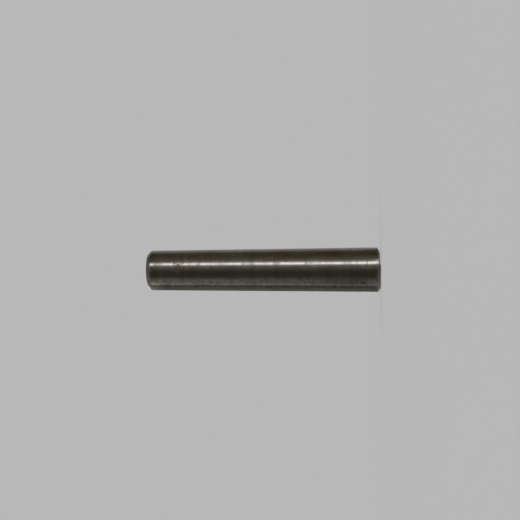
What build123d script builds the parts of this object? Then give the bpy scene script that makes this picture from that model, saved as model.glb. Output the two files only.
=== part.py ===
"""Taper pin: one steel pin, turned and ground to a taper of 1 in 50, chamfered at both ends.

The pin stands on its large end. The origin is the centre of the large end's face, and +Z runs
along the axis to the small end. All sizes are in millimetres.
"""

from build123d import *
import os

# Driving dimensions
small_diameter = 12.0  # where the flank would meet the small end's face: the size that names the pin
length = 70.0  # over both end faces
taper = 1 / 50  # growth of the diameter for each unit of length
small_chamfer = 1.2  # legs of the small end's chamfer, along the face and along the flank
large_chamfer = 1.0  # legs of the large end's chamfer
small_edge_radius = 0.4  # worn edges of the small end's chamfer
large_edge_radius = 0.3  # edges of the large end's chamfer

# Worked out from them
large_diameter = small_diameter + taper * length
widest_edge_share = 0.4  # an edge's round takes at most this share of the chamfer beside it


def edge_round(radius, chamfer_leg):
    """The edge radius, held to what the chamfer beside the edge has room for."""
    return min(radius, widest_edge_share * chamfer_leg)


with BuildPart() as taper_pin:
    # Half of the section along the axis, turned once around it
    with BuildSketch(Plane.XZ) as half_section:
        with BuildLine():
            Polyline(
                (0, 0),
                (large_diameter / 2, 0),
                (small_diameter / 2, length),
                (0, length),
                close=True,
            )
        make_face()
    revolve(axis=Axis.Z)

    # Chamfers at the two rims
    rims = taper_pin.edges().filter_by(GeomType.CIRCLE).sort_by(Axis.Z)
    chamfer(rims[0], large_chamfer)
    rims = taper_pin.edges().filter_by(GeomType.CIRCLE).sort_by(Axis.Z)
    chamfer(rims[-1], small_chamfer)

    # Each chamfer leaves two edges, towards the face and towards the flank: both are softened
    edges_up = taper_pin.edges().filter_by(GeomType.CIRCLE).sort_by(Axis.Z)
    fillet(edges_up[:2], edge_round(large_edge_radius, large_chamfer))
    edges_up = taper_pin.edges().filter_by(GeomType.CIRCLE).sort_by(Axis.Z)
    fillet(edges_up[-2:], edge_round(small_edge_radius, small_chamfer))

taper_pin.part.label = "taper_pin"

os.makedirs("parts", exist_ok=True)
export_step(taper_pin.part, "parts/taper_pin.step")

print(f"taper pin {small_diameter:g} x {length:g}, large end {large_diameter:g}")
print(f"volume {taper_pin.part.volume:.1f} cubic mm")
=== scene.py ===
"""Looks of the taper pin: a ground steel pin, dulled, darkened and lightly rusted, on a pale floor.

The pin stands on its large end, and +Z runs up its axis. The camera is on the -Y side and lies on
its side, so that the picture shows the pin across, with its small end on the left.
A bearing is an angle about the axis in degrees, from -Y, where the camera is, towards +X, which is
up in the picture. A place along the pin is a share of its length, from the large end.
"""

import math

import bpy
import numpy as np
from mathutils import Matrix, Vector


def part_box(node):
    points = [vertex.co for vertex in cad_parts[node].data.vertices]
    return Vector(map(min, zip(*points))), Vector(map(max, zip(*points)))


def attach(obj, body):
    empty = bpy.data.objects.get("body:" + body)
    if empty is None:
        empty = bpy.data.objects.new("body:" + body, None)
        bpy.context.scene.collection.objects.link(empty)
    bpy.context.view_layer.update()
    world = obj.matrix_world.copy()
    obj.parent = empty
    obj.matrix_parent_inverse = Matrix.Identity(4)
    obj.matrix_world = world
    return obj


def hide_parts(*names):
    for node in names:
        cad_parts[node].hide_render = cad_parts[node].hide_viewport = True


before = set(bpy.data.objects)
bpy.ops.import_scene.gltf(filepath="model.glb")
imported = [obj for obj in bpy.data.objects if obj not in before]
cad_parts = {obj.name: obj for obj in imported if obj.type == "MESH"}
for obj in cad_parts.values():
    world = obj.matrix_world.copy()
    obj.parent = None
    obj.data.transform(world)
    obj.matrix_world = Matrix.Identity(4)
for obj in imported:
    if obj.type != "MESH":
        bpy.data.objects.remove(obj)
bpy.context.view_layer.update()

# ---------------------------------------------------------------------------------------------
# Sizes, in metres

MM = 0.001
pin_low, pin_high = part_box("taper_pin")
pin_length = pin_high.z - pin_low.z
pin_middle = (pin_low.z + pin_high.z) / 2
taper = 1 / 50  # growth of the diameter for each unit of length
large_chamfer = 0.85 * MM  # of the large end, along the flank
large_chamfer_width = 1.25 * MM  # and across the face
small_chamfer = 1.2 * MM  # both legs of the small end's
widest_radius = (pin_high.x - pin_low.x) / 2  # where the large end's chamfer starts
large_radius = widest_radius + taper / 2 * large_chamfer  # of the flank, carried on to the end
small_radius = large_radius - taper / 2 * pin_length
large_edge_radius = 0.3 * MM  # both edges of the large end's chamfer
small_rim_radius = 0.6 * MM  # the small end's chamfer towards its face
small_shoulder_radius = 1.2 * MM  # and towards the flank

# ---------------------------------------------------------------------------------------------
# Helpers on arrays of points


def smooth(value, low, high):
    """0 where the value is low, 1 where it is high, and a smooth step between."""
    share = np.clip((value - low) / (high - low), 0, 1)
    return share * share * (3 - 2 * share)


def hills(points, size, seed, count=24):
    """Smooth random hills and hollows, between about -1 and 1, and about this size across."""
    draw = np.random.default_rng(seed)
    directions = draw.normal(size=(3, count))
    directions /= np.linalg.norm(directions, axis=0)
    pace = math.pi / size * draw.uniform(0.6, 1.5, count)
    waves = np.sin(points @ (directions * pace) + draw.uniform(0, 2 * math.pi, count))
    return waves.sum(axis=1) / math.sqrt(2 * count)


def bearings(points):
    """The bearing of each point, in degrees."""
    return np.degrees(np.arctan2(points[:, 0], -points[:, 1]))


def marks_at(points, marks, raggedness=0.35):
    """How strongly each point is marked, from 0 to 1, by ragged oval marks on the flank.

    A mark is (place along, bearing, half length along, half width around, strength), lengths in mm.
    """
    bearing = bearings(points)
    radius = np.hypot(points[:, 0], points[:, 1])
    ragged = raggedness * (hills(points, 0.5 * MM, seed=11) + hills(points, 1.3 * MM, seed=12))
    found = np.zeros(len(points))
    for along, mark_bearing, half_length, half_width, strength in marks:
        up = (points[:, 2] - pin_low.z - along * pin_length) / (half_length * MM)
        turn = (bearing - mark_bearing + 180) % 360 - 180
        around = np.radians(turn) * radius / (half_width * MM)
        inside = 1 - smooth(np.hypot(up, around) + ragged, 0.6, 1.4)
        found = np.maximum(found, strength * inside)
    return found


def scattered_marks(count, seed, longest, widest, strongest, first=82, last=280):
    """Random marks on the sides that the camera doesn't see, between the two bearings."""
    draw = np.random.default_rng(seed)
    return [
        (
            draw.uniform(0.03, 0.97),
            draw.uniform(first, last),
            longest * draw.uniform(0.2, 1),
            widest * draw.uniform(0.3, 1),
            strongest * draw.uniform(0.5, 1),
        )
        for _ in range(count)
    ]


# ---------------------------------------------------------------------------------------------
# The pin's mesh: its outline turned about the axis, with the wear pressed in

COLUMNS = 224  # around the pin
FLANK_STEP = 0.22 * MM  # between the rows of points on the flank
FACE_STEP = 0.25 * MM  # on the end faces
CHAMFER_STEP = 0.14 * MM  # on the chamfers
EDGE_STEP = 0.07 * MM  # on the rounded edges

WAVE_DEPTH = 0.007 * MM  # mean depth of the long waves in the ground surface
WAVE_SIZE = 9 * MM
RIPPLE_DEPTH = 0.0015 * MM  # and of the short ones
RIPPLE_SIZE = 2.2 * MM
NICK_COUNT = 28
NICK_SEED = 61
CROWN = 0.13 * MM  # wear of the small end's rim below the middle of its face
CROWN_DEPTH = 1.6 * MM  # how far down the pin it reaches
CROWN_TILT = 0.03 * MM  # what more is worn away on the -X side
STEP_BACK = 0.33 * MM  # how far the large end's face is cut back on the +X side
STEP_PLACE = 1.45 * MM  # how far from the axis that starts
STEP_EASE = 0.3 * MM  # half the width of the slope between the two levels
BEVEL_PLACE = 1.6 * MM  # how far inside the flank the cut starts to deepen
BEVEL_SLOPE = 0.5  # by how much it deepens for each unit outwards
BEATEN_OUT = 0.35 * MM  # the most by which knocks have filled the large end's chamfer out
BEATEN_BEARING = 20  # where, in degrees
BEATEN_SPREAD = 12  # how far to either side, in degrees, that falls to about a third


def spread(start, end, step):
    """Points from start up to, but without, end, about a step apart."""
    count = max(1, round((end - start).length / step))
    return [start.lerp(end, i / count) for i in range(count)]


def rounded_corner(before, corner, after, radius):
    """The arc that rounds a corner of the outline, from its first to its last point."""
    to_before = (before - corner).normalized()
    to_after = (after - corner).normalized()
    half = to_before.angle(to_after) / 2
    middle = (to_before + to_after).normalized()
    centre = corner + middle * radius / math.sin(half)
    turn = math.pi - 2 * half
    count = max(3, round(radius * turn / EDGE_STEP))
    side = -math.copysign(1, middle.cross(to_after))
    angles = [side * turn * (i / count - 0.5) for i in range(count + 1)]
    return [centre + Matrix.Rotation(angle, 2) @ -middle * radius for angle in angles]


def outline():
    """The pin's half section as points (radius, height), from the large face's centre upwards."""
    corners = [
        Vector((0, pin_low.z)),
        Vector((large_radius - large_chamfer_width, pin_low.z)),
        Vector((large_radius - taper / 2 * large_chamfer, pin_low.z + large_chamfer)),
        Vector((small_radius + taper / 2 * small_chamfer, pin_high.z - small_chamfer)),
        Vector((small_radius - small_chamfer, pin_high.z)),
        Vector((0, pin_high.z)),
    ]
    radii = [0, large_edge_radius, large_edge_radius, small_shoulder_radius, small_rim_radius, 0]
    steps = [FACE_STEP, CHAMFER_STEP, FLANK_STEP, CHAMFER_STEP, FACE_STEP]
    points = []
    last = corners[0]
    for i in range(1, len(corners) - 1):
        arc = rounded_corner(corners[i - 1], corners[i], corners[i + 1], radii[i])
        points += spread(last, arc[0], steps[i - 1]) + arc[:-1]
        last = arc[-1]
    points += spread(last, corners[-1], steps[-1]) + [corners[-1]]
    return np.array([tuple(p) for p in points])


def rim_nicks(count, seed):
    """Random knocks on the edges of both chamfers.

    A knock is (height, bearing, half height, half width around, depth), lengths in mm.
    """
    draw = np.random.default_rng(seed)
    low_shoulder = (pin_low.z + large_chamfer) / MM
    high_shoulder = (pin_high.z - small_chamfer) / MM
    return [
        (
            draw.choice([low_shoulder, high_shoulder, low_shoulder - 0.9, high_shoulder + 1.0]),
            draw.uniform(-180, 180),
            draw.uniform(0.12, 0.3),
            draw.uniform(0.15, 0.7),
            draw.uniform(0.01, 0.045),
        )
        for _ in range(count)
    ]


def wear_depth(points):
    """How deep the ground surface lies under the plain outline: long waves, short ones and knocks."""
    depth = WAVE_DEPTH * (1 + hills(points, WAVE_SIZE, seed=1))
    depth += RIPPLE_DEPTH * (1 + hills(points, RIPPLE_SIZE, seed=2))
    radius = np.hypot(points[:, 0], points[:, 1])
    for height, bearing, half_height, half_width, deepest in rim_nicks(NICK_COUNT, seed=NICK_SEED):
        turn = np.radians((bearings(points) - bearing + 180) % 360 - 180)
        up = (points[:, 2] / MM - height) / half_height
        around = turn * radius / MM / half_width
        depth += deepest * MM * np.exp(-(up**2) - around**2)
    return depth


def beat_out(moved, points, outward, depth):
    """Knocks have filled out the large end's chamfer on one side. It stays within the flank's cone."""
    aside = (bearings(points) - BEATEN_BEARING) / BEATEN_SPREAD
    on_chamfer = (outward[:, 2] < -0.1) & (outward[:, 2] > -0.99)
    moved += outward * (BEATEN_OUT * np.exp(-(aside**2)) * on_chamfer)[:, None]
    cone = large_radius - taper / 2 * (moved[:, 2] - pin_low.z) - depth
    radius = np.hypot(moved[:, 0], moved[:, 1])
    moved[:, :2] *= np.minimum(1, cone / np.maximum(radius, MM))[:, None]


def cut_back(moved, points):
    """The large end's face is cut back on the +X side, and more so towards the flank."""
    x = points[:, 0]
    cut = STEP_BACK * smooth(x, STEP_PLACE - STEP_EASE, STEP_PLACE + STEP_EASE)
    cut += BEVEL_SLOPE * np.maximum(0, x - (large_radius - BEVEL_PLACE))
    cut *= 1 + 0.12 * hills(points, 1.5 * MM, seed=4)
    moved[:, 2] = np.maximum(moved[:, 2], pin_low.z + cut)


def rub_small_end(moved, points):
    """The small end's rim is worn below the middle of its face, most on the -X side."""
    near_high = np.clip(1 - (pin_high.z - points[:, 2]) / CROWN_DEPTH, 0, 1)
    radius = np.hypot(points[:, 0], points[:, 1])
    rubbed = CROWN * (radius / (small_radius - small_chamfer)) ** 3
    rubbed += CROWN_TILT * smooth(-points[:, 0], 2.5 * MM, 5 * MM)
    moved[:, 2] -= near_high * rubbed


def worn(points, outward):
    """The points of the plain pin, moved step by step to where the wear has left them."""
    depth = wear_depth(points)
    moved = points - outward * depth[:, None]
    beat_out(moved, points, outward, depth)
    cut_back(moved, points)
    rub_small_end(moved, points)
    return moved


def bake_map(mesh, section):
    """Lays the pin out flat: the flank as an upright band, and the two end faces as discs beside it."""
    band_width, disc_radius = 0.8, 0.085
    low_centre, high_centre = Vector((0.9, 0.25)), Vector((0.9, 0.75))
    hair = 0.001 * MM
    steps = np.hypot(*np.diff(section, axis=0).T)
    travel = np.cumsum(steps)[:-1] / steps.sum()
    heights = np.append(np.repeat(section[1:-1, 1], COLUMNS), [pin_low.z, pin_high.z])
    on_low = heights < pin_low.z + hair
    on_high = heights > pin_high.z - hair
    places = []
    for polygon in mesh.polygons:
        corners = list(polygon.vertices)
        if on_low[corners].all() or on_high[corners].all():
            centre = low_centre if on_low[corners[0]] else high_centre
            for v in corners:
                across = mesh.vertices[v].co.to_2d() / large_radius
                places.append(centre + across * disc_radius)
        else:
            columns = [v % COLUMNS for v in corners]
            across_seam = max(columns) - min(columns) > 1
            for v, column in zip(corners, columns):
                turned = COLUMNS if across_seam and column == 0 else column
                places.append((turned / COLUMNS * band_width, travel[v // COLUMNS]))
    layer = mesh.uv_layers.new(name="OFBake")
    layer.data.foreach_set("uv", [value for place in places for value in place])


def band_faces(rows, columns):
    """Four-sided faces between rows of points that go once round the axis."""
    faces = []
    for row in range(rows - 1):
        below, above = row * columns, (row + 1) * columns
        for column in range(columns):
            beside = (column + 1) % columns
            faces.append((below + column, below + beside, above + beside, above + column))
    return faces


def disc_faces(rows):
    """Three-sided faces from the two end faces' centres, which come last, to the rows next to them."""
    low_centre, high_centre = rows * COLUMNS, rows * COLUMNS + 1
    top = (rows - 1) * COLUMNS
    faces = []
    for column in range(COLUMNS):
        beside = (column + 1) % COLUMNS
        faces.append((low_centre, beside, column))
        faces.append((high_centre, top + column, top + beside))
    return faces


def plain_pin(section):
    """The unworn pin's points, row by row and then both end faces' centres, and each one's way out."""
    rows = section[1:-1]
    angles = np.linspace(0, 2 * math.pi, COLUMNS, endpoint=False)
    around = np.stack([np.sin(angles), -np.cos(angles)], 1)
    places = np.empty((len(rows), COLUMNS, 3))
    places[:, :, :2] = rows[:, None, 0:1] * around[None, :, :]
    places[:, :, 2] = rows[:, None, 1]
    course = np.gradient(section, axis=0)[1:-1]
    course /= np.linalg.norm(course, axis=1)[:, None]
    outward = np.empty_like(places)
    outward[:, :, :2] = course[:, None, 1:2] * around[None, :, :]
    outward[:, :, 2] = -course[:, None, 0]
    points = np.vstack([places.reshape(-1, 3), [[0, 0, pin_low.z], [0, 0, pin_high.z]]])
    outward = np.vstack([outward.reshape(-1, 3), [[0, 0, -1], [0, 0, 1]]])
    return points, outward


def turned_pin():
    """The pin with its wear, the fields that its material reads and its map for baking."""
    section = outline()
    points, outward = plain_pin(section)
    row_count = len(section) - 2
    faces = band_faces(row_count, COLUMNS) + disc_faces(row_count)
    mesh = bpy.data.meshes.new("worn_pin")
    mesh.from_pydata(worn(points, outward).tolist(), [], faces)
    mesh.update()
    mesh.polygons.foreach_set("use_smooth", [True] * len(mesh.polygons))
    for name, values in surface_fields(points).items():
        mesh.attributes.new(name, "FLOAT", "POINT").data.foreach_set("value", values)
    bake_map(mesh, section)
    pin = bpy.data.objects.new("worn_pin", mesh)
    bpy.context.scene.collection.objects.link(pin)
    return pin


# ---------------------------------------------------------------------------------------------
# What the material reads at each point of the pin. A mark is written as marks_at says.

RUST_PATCHES = [
    (0.861, 8, 1.2, 2.0, 0.66),
    (0.835, 27, 1.3, 1.0, 0.45),
    (0.792, 41, 2.4, 1.1, 0.85),
    (0.73, 44, 3.0, 0.9, 0.6),
    (0.66, 46, 4.8, 0.8, 0.5),
    (0.43, 38, 2.0, 1.3, 0.7),
    (0.32, 50, 3.4, 0.8, 0.5),
    (0.07, 51, 4.2, 1.1, 0.7),
]
DARK_PITS = [
    (0.717, -36, 1.0, 0.4, 0.62),
    (0.075, -34, 1.1, 0.45, 0.6),
    (0.235, -33, 0.7, 0.5, 0.4),
    (0.13, 68, 0.4, 0.5, 0.9),
    (0.729, 9, 0.3, 0.3, 0.6),
    (0.10, -50, 2.4, 0.5, 0.35),
]
DULL_MARKS = [
    (0.953, 18, 0.65, 1.0, 1.0),
    (0.937, 18, 1.2, 0.9, 0.8),
    (0.868, 18, 0.4, 1.0, 0.8),
    (0.859, 18, 1.9, 0.9, 0.5),
    (0.849, 18, 0.5, 1.0, 0.8),
    (0.812, 18, 0.7, 0.8, 0.5),
    (0.773, 18, 0.65, 1.1, 0.9),
    (0.68, 18, 2.2, 0.8, 0.45),
    (0.58, 18, 0.9, 0.9, 0.75),
    (0.552, 18, 1.2, 0.9, 0.65),
    (0.49, 18, 3.4, 1.0, 0.35),
    (0.483, 18, 0.7, 0.8, 0.5),
    (0.442, 18, 1.3, 1.1, 0.85),
    (0.314, 18, 0.5, 1.0, 0.75),
    (0.295, 18, 0.6, 1.0, 0.75),
    (0.273, 18, 1.3, 0.8, 0.5),
    (0.253, 18, 0.3, 0.9, 0.6),
    (0.14, 18, 1.7, 0.8, 0.5),
    (0.1, 18, 0.5, 0.8, 0.45),
    (0.057, 18, 0.22, 1.4, 0.9),
]


def on_chamfers(points):
    """How much each point is on the large and on the small end's chamfer, from 0 to 1."""
    radius = np.hypot(points[:, 0], points[:, 1])
    from_low = points[:, 2] - pin_low.z
    from_high = pin_high.z - points[:, 2]
    on_low = 1 - smooth(from_low, 0.8 * large_chamfer, 1.1 * large_chamfer)
    on_low *= smooth(radius, 5 * MM, 5.6 * MM)
    on_high = 1 - smooth(from_high, 0.8 * small_chamfer, 1.3 * small_chamfer)
    on_high *= smooth(radius, 4.4 * MM, 5 * MM)
    return on_low, on_high


def flank_lightness(along, bearing, lower, seen, on_high):
    """How much lighter the seen side of the flank is than its usual tone.

    The lower band is lighter towards the small end, and its middle is darker towards the large end.
    A painted reflection lightens the lower shoulder. Above the bright line the small end is darker.
    """
    lighter = 0.32 * lower * smooth(along, 0.35, 0.95)
    # Painted reflection: the small end's lower shoulder is lightened on the seen side.
    shoulder = smooth(along, 0.92, 0.975) * smooth(-bearing, 32, 47)
    lower_middle = lower * (1 - smooth(-bearing, 36, 46))
    darker = 0.33 * (1 - smooth(along, 0.14, 0.33)) - 0.3 * (1 - smooth(along, 0.03, 0.08))
    end_patch = smooth(along, 0.955, 0.968) * smooth(bearing, 21, 29) * (1 - smooth(bearing, 48, 60))
    lighter += 1.25 * shoulder * seen - lower_middle * darker
    return lighter - 0.3 * end_patch * (1 - on_high)


def large_chamfer_painted_light(points, bearing, seen):
    """Painted light on the large end's chamfer: a painted reflection makes it lighter at its face and at
    its top, and painted shade makes it darker at its middle.
    """
    from_low = points[:, 2] - pin_low.z
    painted_face_reflection = 1 - smooth(from_low, 0.1 * large_chamfer, 0.7 * large_chamfer)
    top = smooth(bearing, 26, 36)
    middle = 1 - smooth(np.abs(bearing + 3), 5, 20)
    return 0.2 + 0.7 * painted_face_reflection + (0.6 * top - 0.5 * middle) * seen


def small_chamfer_painted_light(bearing, seen):
    """Painted light on the small end's chamfer: a painted glint where the bright line meets it, and
    painted shade above and below.
    """
    painted_glint = np.exp(-(((bearing - 19) / 8) ** 2))
    painted_shade_aside = smooth(np.abs(bearing), 26, 38)
    return 0.3 * painted_glint - 0.5 * painted_shade_aside * seen


def surface_fields(points):
    """What the material reads at each point: rust, film, pits, dull marks and mottling from 0 to 1,
    and how light the steel is next to its usual tone, which is 1.
    """
    along = (points[:, 2] - pin_low.z) / pin_length
    bearing = bearings(points)
    upper = smooth(bearing, 24, 40) * (1 - smooth(bearing, 60, 78))  # the band above the bright line
    lower = smooth(-bearing, 16, 30) * (1 - smooth(-bearing, 50, 60))  # the paler band near the bottom
    hidden = smooth(np.abs(bearing), 75, 100)  # what the camera doesn't see
    seen = 1 - hidden
    on_low, on_high = on_chamfers(points)
    patchy = 0.5 + 0.5 * hills(points, 7 * MM, seed=21)

    film = upper * (0.2 + 0.9 * smooth(patchy, 0.15, 0.85)) + 0.3 * on_low
    film += 0.5 * hidden * smooth(patchy, 0.45, 0.95)
    mottling = lower * (0.7 + 0.5 * smooth(along, 0.4, 0.7)) + hidden * patchy
    lightness = 1 + flank_lightness(along, bearing, lower, seen, on_high)
    # Painted reflection and painted shade on the large end's chamfer.
    lightness += on_low * large_chamfer_painted_light(points, bearing, seen)
    # A painted glint and painted shade on the small end's chamfer.
    lightness += on_high * small_chamfer_painted_light(bearing, seen)
    lightness += 0.12 * hidden * hills(points, 8 * MM, seed=22)

    rust_marks = RUST_PATCHES + scattered_marks(16, seed=31, longest=3.0, widest=1.3, strongest=0.7)
    pit_marks = DARK_PITS + scattered_marks(16, seed=32, longest=0.9, widest=0.45, strongest=0.6)
    dull_marks = DULL_MARKS + scattered_marks(24, seed=33, longest=1.2, widest=2.0, strongest=0.8)
    return {
        "rust": marks_at(points, rust_marks),
        "film": np.clip(film, 0, 1),
        "pits": marks_at(points, pit_marks),
        "dull": marks_at(points, dull_marks, raggedness=0.15),
        "mottling": np.clip(mottling, 0, 1),
        "lightness": lightness,
    }


# ---------------------------------------------------------------------------------------------
# Materials


class Graph:
    """Short ways to add and link the nodes of one material."""

    def __init__(self, name):
        self.material = bpy.data.materials.new(name)
        self.material.use_nodes = True
        self.nodes = self.material.node_tree.nodes
        self.links = self.material.node_tree.links
        self.shader = self.nodes["Principled BSDF"]

    def add(self, kind, inputs=(), **settings):
        """A node of this kind, with settings on the node and (socket, value or link) inputs."""
        node = self.nodes.new(kind)
        for key, value in settings.items():
            setattr(node, key, value)
        for socket, value in dict(inputs).items():
            self.feed(node.inputs[socket], value)
        return node

    def feed(self, socket, value):
        """Links an output to the socket, or sets the socket's value."""
        if isinstance(value, bpy.types.NodeSocket):
            self.links.new(value, socket)
        else:
            socket.default_value = value

    def maths(self, operation, a, b=0.0, clamp=False):
        node = self.add("ShaderNodeMath", {0: a, 1: b}, operation=operation, use_clamp=clamp)
        return node.outputs[0]

    def total(self, *terms):
        """The sum of (value, weight) pairs."""
        result = 0.0
        for value, weight in terms:
            node = self.add("ShaderNodeMath", {0: value, 1: weight, 2: result}, operation="MULTIPLY_ADD")
            result = node.outputs[0]
        return result

    def vector(self, operation, a, b=(0, 0, 0)):
        node = self.add("ShaderNodeVectorMath", {0: a, 1: b}, operation=operation)
        return node.outputs["Value" if operation == "LENGTH" else "Vector"]

    def ramp(self, value, low, high, start=0.0, end=1.0):
        """start where the value is low, end where it is high, and a smooth step between."""
        inputs = {"Value": value, 1: low, 2: high, 3: start, 4: end}
        node = self.add("ShaderNodeMapRange", inputs, interpolation_type="SMOOTHSTEP")
        return node.outputs["Result"]

    def noise(self, place, size, detail=2.0, roughness=0.5):
        """Cloudy noise, about 0.3 to 0.7, whose patches are about this size in metres."""
        inputs = {"Vector": place, "Scale": 1 / size, "Detail": detail, "Roughness": roughness}
        return self.add("ShaderNodeTexNoise", inputs).outputs["Fac"]

    def field(self, name):
        """A field that the mesh carries."""
        return self.add("ShaderNodeAttribute", attribute_name=name).outputs["Fac"]

    def blend(self, share, a, b):
        """The mix of two colours."""
        node = self.add("ShaderNodeMix", data_type="RGBA")
        sockets = (node.inputs["Factor"], node.inputs[6], node.inputs[7])
        for socket, value in zip(sockets, (share, a, b)):
            self.feed(socket, value)
        return node.outputs[2]


STEEL_DARK = (0.19, 0.18, 0.163, 1)
STEEL_LIGHT = (0.27, 0.26, 0.242, 1)
FILM_BROWN = (0.16, 0.135, 0.096, 1)
RUST_BROWN = (0.095, 0.06, 0.036, 1)
PIT_DARK = (0.06, 0.05, 0.04, 1)


def turning_place(g, place):
    """Coordinates in which noise becomes turning marks: rings about the axis that slowly drift."""
    level = g.vector("MULTIPLY", place, (1, 1, 0))
    parts = g.add("ShaderNodeSeparateXYZ", {0: place}).outputs
    reach = g.total((parts[0], 0.03), (g.vector("LENGTH", level), 1.0))
    drift = g.maths("MULTIPLY", parts[1], 0.03)
    return g.add("ShaderNodeCombineXYZ", {0: reach, 1: drift, 2: parts[2]}).outputs[0]


def steel_patterns(g):
    """The noises that the steel shows by name, and the mesh's fields with edges made ragged by them."""
    place = g.add("ShaderNodeTexCoord").outputs["Object"]
    turning = turning_place(g, place)
    clouds = g.noise(place, 6 * MM, 3.0)
    grain = g.noise(place, 0.45 * MM, 4.0, 0.6)
    return {
        "rings": g.noise(turning, 0.22 * MM, 3.0),
        "bands": g.noise(turning, 1.4 * MM, 3.0),
        "streaks": g.noise(g.vector("MULTIPLY", place, (0.35, 0.35, 1.0)), 0.9 * MM, 4.0, 0.6),
        "flecks": g.noise(g.vector("MULTIPLY", place, (1.0, 1.0, 0.7)), 0.9 * MM, 3.0, 0.6),
        "clouds": clouds,
        "grain": grain,
        "rust": g.ramp(g.total((g.field("rust"), 1.0), (clouds, 0.5), (grain, 1.1)), 0.8, 1.8),
        "pits": g.ramp(g.total((g.field("pits"), 1.0), (grain, 0.6)), 0.5, 1.2),
        "dull": g.ramp(g.total((g.field("dull"), 1.0), (grain, 0.25)), 0.15, 1.1),
        "film": g.maths("MULTIPLY", g.field("film"), g.ramp(clouds, 0.35, 0.6, 0.5, 1.0)),
        "mottling": g.field("mottling"),
        "lightness": g.field("lightness"),
    }


def steel_colour(g, patterns):
    """Grey steel in uneven tones, under a thin brown film, with rust and pits on top."""
    streaky = g.total((patterns["streaks"], 0.7), (patterns["flecks"], 0.7), (-0.7, 1.0))
    uneven = g.maths("MULTIPLY", streaky, g.total((patterns["mottling"], 3.3), (0.5, 1.0)))
    tone = g.total((uneven, 1.0), (patterns["bands"], 0.8), (patterns["clouds"], 0.8), (-0.3, 1.0))
    # The lightness field holds painted reflections, painted shade and a painted glint near the pin's
    # ends, besides the steel's own tone.
    lightness = g.total((patterns["lightness"], 1.0), (patterns["dull"], -0.3))
    colour = g.blend(g.ramp(tone, 0.15, 0.85), STEEL_DARK, STEEL_LIGHT)
    colour = g.vector("MULTIPLY", colour, lightness)
    colour = g.blend(patterns["film"], colour, FILM_BROWN)
    colour = g.blend(patterns["rust"], colour, RUST_BROWN)
    return g.blend(patterns["pits"], colour, PIT_DARK)


def steel_metallic(g, patterns):
    """Rust and pits are less metallic than bare steel."""
    metallic = g.total((patterns["rust"], -0.5), (patterns["pits"], -0.4), (1.0, 1.0))
    return g.maths("MAXIMUM", metallic, 0.2)


def steel_roughness(g, patterns):
    """Smooth ground steel, rougher in its grooves and wherever it is marked."""
    roughness = g.total(
        (patterns["rings"], 0.07),
        (patterns["dull"], 0.04),
        (patterns["rust"], 0.1),
        (patterns["pits"], 0.2),
        (patterns["film"], 0.03),
        (0.17, 1.0),
    )
    return g.maths("MINIMUM", roughness, 0.7)


def steel_relief(g, patterns):
    """Heights in millimetres: fine rings, streaks where the steel is mottled, grain and sunken pits."""
    mottled = g.maths("MULTIPLY", g.total((patterns["mottling"], 1.0), (0.25, 1.0)), patterns["streaks"])
    return g.total(
        (patterns["rings"], 0.002),
        (mottled, 0.02),
        (patterns["grain"], 0.002),
        (patterns["pits"], -0.02),
    )


def steel_material():
    """Ground steel: turning marks, mottling, a thin brown film, rust, pits and dull marks."""
    g = Graph("dulled_steel")
    patterns = steel_patterns(g)
    g.feed(g.shader.inputs["Base Color"], steel_colour(g, patterns))
    g.feed(g.shader.inputs["Metallic"], steel_metallic(g, patterns))
    g.feed(g.shader.inputs["Roughness"], steel_roughness(g, patterns))
    bump = g.add("ShaderNodeBump", {"Height": steel_relief(g, patterns), "Strength": 1.0, "Distance": MM})
    g.feed(g.shader.inputs["Normal"], bump.outputs["Normal"])
    return g.material


def paper_material(near_glow):
    """Pale matt paper. Far from the pin, the light that falls on it doesn't change how bright it looks.

    near_glow is the share of its brightness for which that also holds at the pin's foot.
    """
    g = Graph("pale_paper")
    g.nodes.remove(g.shader)
    paper = g.add("ShaderNodeBsdfDiffuse", {"Color": (FLOOR_GREY, FLOOR_GREY, FLOOR_GREY, 1)})
    lit = g.add("ShaderNodeEmission", {"Color": (BACKDROP_GREY, BACKDROP_GREY, BACKDROP_GREY, 1)})
    rays = g.add("ShaderNodeLightPath").outputs
    seen = g.maths("ADD", rays["Is Camera Ray"], rays["Is Glossy Ray"])
    seen = g.maths("ADD", seen, rays["Is Transmission Ray"], clamp=True)
    away = g.vector("LENGTH", g.add("ShaderNodeTexCoord").outputs["Object"])
    share = g.maths("MULTIPLY", seen, g.ramp(away, 0.06, 0.5, near_glow, 1.0))
    mix = g.add("ShaderNodeMixShader", {0: share, 1: paper.outputs[0], 2: lit.outputs[0]})
    g.links.new(mix.outputs[0], g.nodes["Material Output"].inputs["Surface"])
    return g.material


def tent_material():
    """The light tent's fabric, which glows with the colour that its mesh carries."""
    g = Graph("tent_fabric")
    g.nodes.remove(g.shader)
    colour = g.add("ShaderNodeAttribute", attribute_name="glow").outputs["Color"]
    lit = g.add("ShaderNodeEmission", {"Color": colour})
    g.links.new(lit.outputs[0], g.nodes["Material Output"].inputs["Surface"])
    return g.material


# ---------------------------------------------------------------------------------------------
# Stage, light and camera

FLOOR_GREY = 0.583  # of the paper near the pin, in the overhead light
BACKDROP_GREY = 0.48  # how bright it looks far from the pin
WORLD_GREY = 0.45
CEILING_GREY = 0.28  # of the light tent's roof

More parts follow.
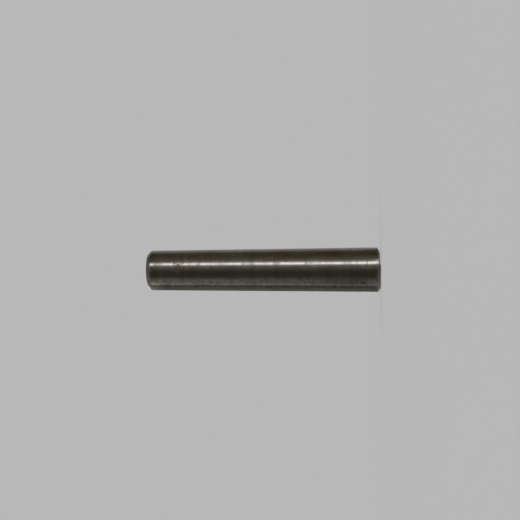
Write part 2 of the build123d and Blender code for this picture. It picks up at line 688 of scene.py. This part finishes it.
# How bright the light tent's wall is, as (bearing, brightness, warmth). A warmth of 0 is grey.
TENT = [
    (-180, 0.42, 0.05),
    (-177, 0.42, 0.05),
    (-174, 1.6, 0),
    (-167, 1.6, 0),
    (-164, 0.36, 0.05),
    (-150, 0.21, 0.05),
    (-130, 0.22, 0.15),
    (-115, 0.22, 0.2),
    (-104, 0.13, 0.2),
    (-94, 0.085, 0.2),
    (-84, 0.48, 0.05),
    (-75, 0.32, 0.1),
    (-67, 0.24, 0.15),
    (-57, 0.28, 0.08),
    (-45, 0.17, 0.25),
    (-35, 0.095, 0.35),
    (-25, 0.08, 0.38),
    (-8, 0.085, 0.38),
    (5, 0.155, 0.33),
    (15, 0.235, 0.3),
    (30, 0.31, 0.2),
    (32.5, 5.2, -0.04),
    (38.5, 5.2, -0.04),
    (41, 0.42, 0.1),
    (50, 0.3, 0.2),
    (60, 0.19, 0.35),
    (70, 0.24, 0.5),
    (82, 0.13, 0.5),
    (95, 0.165, 0.5),
    (108, 0.125, 0.45),
    (118, 0.29, 0.25),
    (126, 0.45, 0.05),
    (140, 0.48, 0),
    (160, 0.45, 0),
    (180, 0.42, 0.05),
]


def turned_sheet(name, profile, columns):
    """A sheet turned about the Z axis from points (radius, height), without its middle."""
    angles = np.linspace(0, 2 * math.pi, columns, endpoint=False)
    points = [(r * math.sin(a), -r * math.cos(a), z) for r, z in profile for a in angles]
    faces = band_faces(len(profile), columns)
    mesh = bpy.data.meshes.new(name)
    mesh.from_pydata(points, [], faces)
    mesh.polygons.foreach_set("use_smooth", [True] * len(faces))
    sheet = bpy.data.objects.new(name, mesh)
    bpy.context.scene.collection.objects.link(sheet)
    return sheet


def paper_sweep():
    """The pale floor, which sweeps up into a round wall far from the pin."""
    flat, bend, wall = 0.9, 0.5, 1.6
    bend_rows = 12
    profile = [(0.5 * MM, pin_low.z), (flat / 2, pin_low.z)]
    for i in range(bend_rows + 1):
        angle = math.pi / 2 * i / bend_rows
        profile.append((flat + bend * math.sin(angle), pin_low.z + bend * (1 - math.cos(angle))))
    profile.append((flat + bend, pin_low.z + wall))
    sweep = turned_sheet("paper_sweep", profile, 96)
    sweep.data.materials.append(paper_material(near_glow=0.45))


def tent_glow(wall_rows, roof_rows):
    """The colours of the light tent's points, a column for each degree: the wall's, then the roof's."""
    bearing, brightness, warmth = np.array(TENT).T
    columns = (np.arange(360) + 180) % 360 - 180.0
    bright = np.interp(columns, bearing, brightness)
    warm = np.interp(columns, bearing, warmth)
    glow = np.ones((wall_rows + roof_rows, 360, 4))
    glow[:wall_rows, :, 0] = bright
    glow[:wall_rows, :, 1] = bright * (1 - 0.3 * warm / (1 + warm))
    glow[:wall_rows, :, 2] = bright / (1 + warm)
    glow[wall_rows:, :, :3] = CEILING_GREY
    return glow


def light_tent():
    """A tent of glowing fabric round the pin, which shows only in the pin's reflections."""
    near, far = 9 * MM, 240 * MM
    lowest, highest = pin_low.z + 0.4 * MM, pin_low.z + 200 * MM
    wall = [(near, lowest), (far, lowest), (far, highest)]
    roof = [(far / 2, highest + far / 4), (MM, highest + far / 3)]
    tent = turned_sheet("light_tent", wall + roof, 360)
    layer = tent.data.color_attributes.new("glow", "FLOAT_COLOR", "POINT")
    layer.data.foreach_set("color", tent_glow(len(wall), len(roof)).reshape(-1))
    tent.data.materials.append(tent_material())
    for way in ("camera", "diffuse", "shadow", "transmission", "volume_scatter"):
        setattr(tent, "visible_" + way, False)


def soft_sky(strength, spread_deg):
    """A broad soft light from overhead, which shows in no reflection."""
    data = bpy.data.lights.new("overhead", "SUN")
    data.energy = strength
    data.angle = math.radians(spread_deg)
    lamp = bpy.data.objects.new("overhead", data)
    lamp.visible_glossy = False
    bpy.context.scene.collection.objects.link(lamp)


def plain_world():
    """An even grey all round."""
    world = bpy.data.worlds.new("studio")
    world.use_nodes = True
    background = world.node_tree.nodes["Background"]
    background.inputs["Color"].default_value = (WORLD_GREY, WORLD_GREY, WORLD_GREY, 1)
    bpy.context.scene.world = world


def side_camera():
    """A camera on the -Y side, low and lying on its side: the picture's right is -Z, its up is +X."""
    distance = 6.145 * pin_length
    looks_at = (0.0434 * pin_length, 0, pin_middle + 0.0151 * pin_length)
    looks_up, leans = math.radians(4.2), math.radians(-0.235)
    data = bpy.data.cameras.new("camera")
    data.sensor_width = 36
    data.lens = 99.38
    data.clip_start = 10 * MM  # the camera is so low that the floor comes close to it
    data.clip_end = 10
    camera = bpy.data.objects.new("camera", data)
    bpy.context.scene.collection.objects.link(camera)
    lying = Matrix(((0, 1, 0), (0, 0, -1), (-1, 0, 0))).to_4x4()
    aim = Matrix.Translation(looks_at)
    lowered = Matrix.Rotation(looks_up, 4, "X")
    back = Matrix.Translation((0, -distance, 0))
    tilt = Matrix.Rotation(leans, 4, "Z")
    camera.matrix_world = aim @ lowered @ back @ lying @ tilt
    bpy.context.scene.camera = camera


pin = turned_pin()
pin.data.materials.append(steel_material())
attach(pin, "root")
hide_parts("taper_pin")

paper_sweep()
light_tent()
soft_sky(strength=1.5, spread_deg=60)
plain_world()
side_camera()

scene = bpy.context.scene
scene.view_settings.view_transform = "Standard"
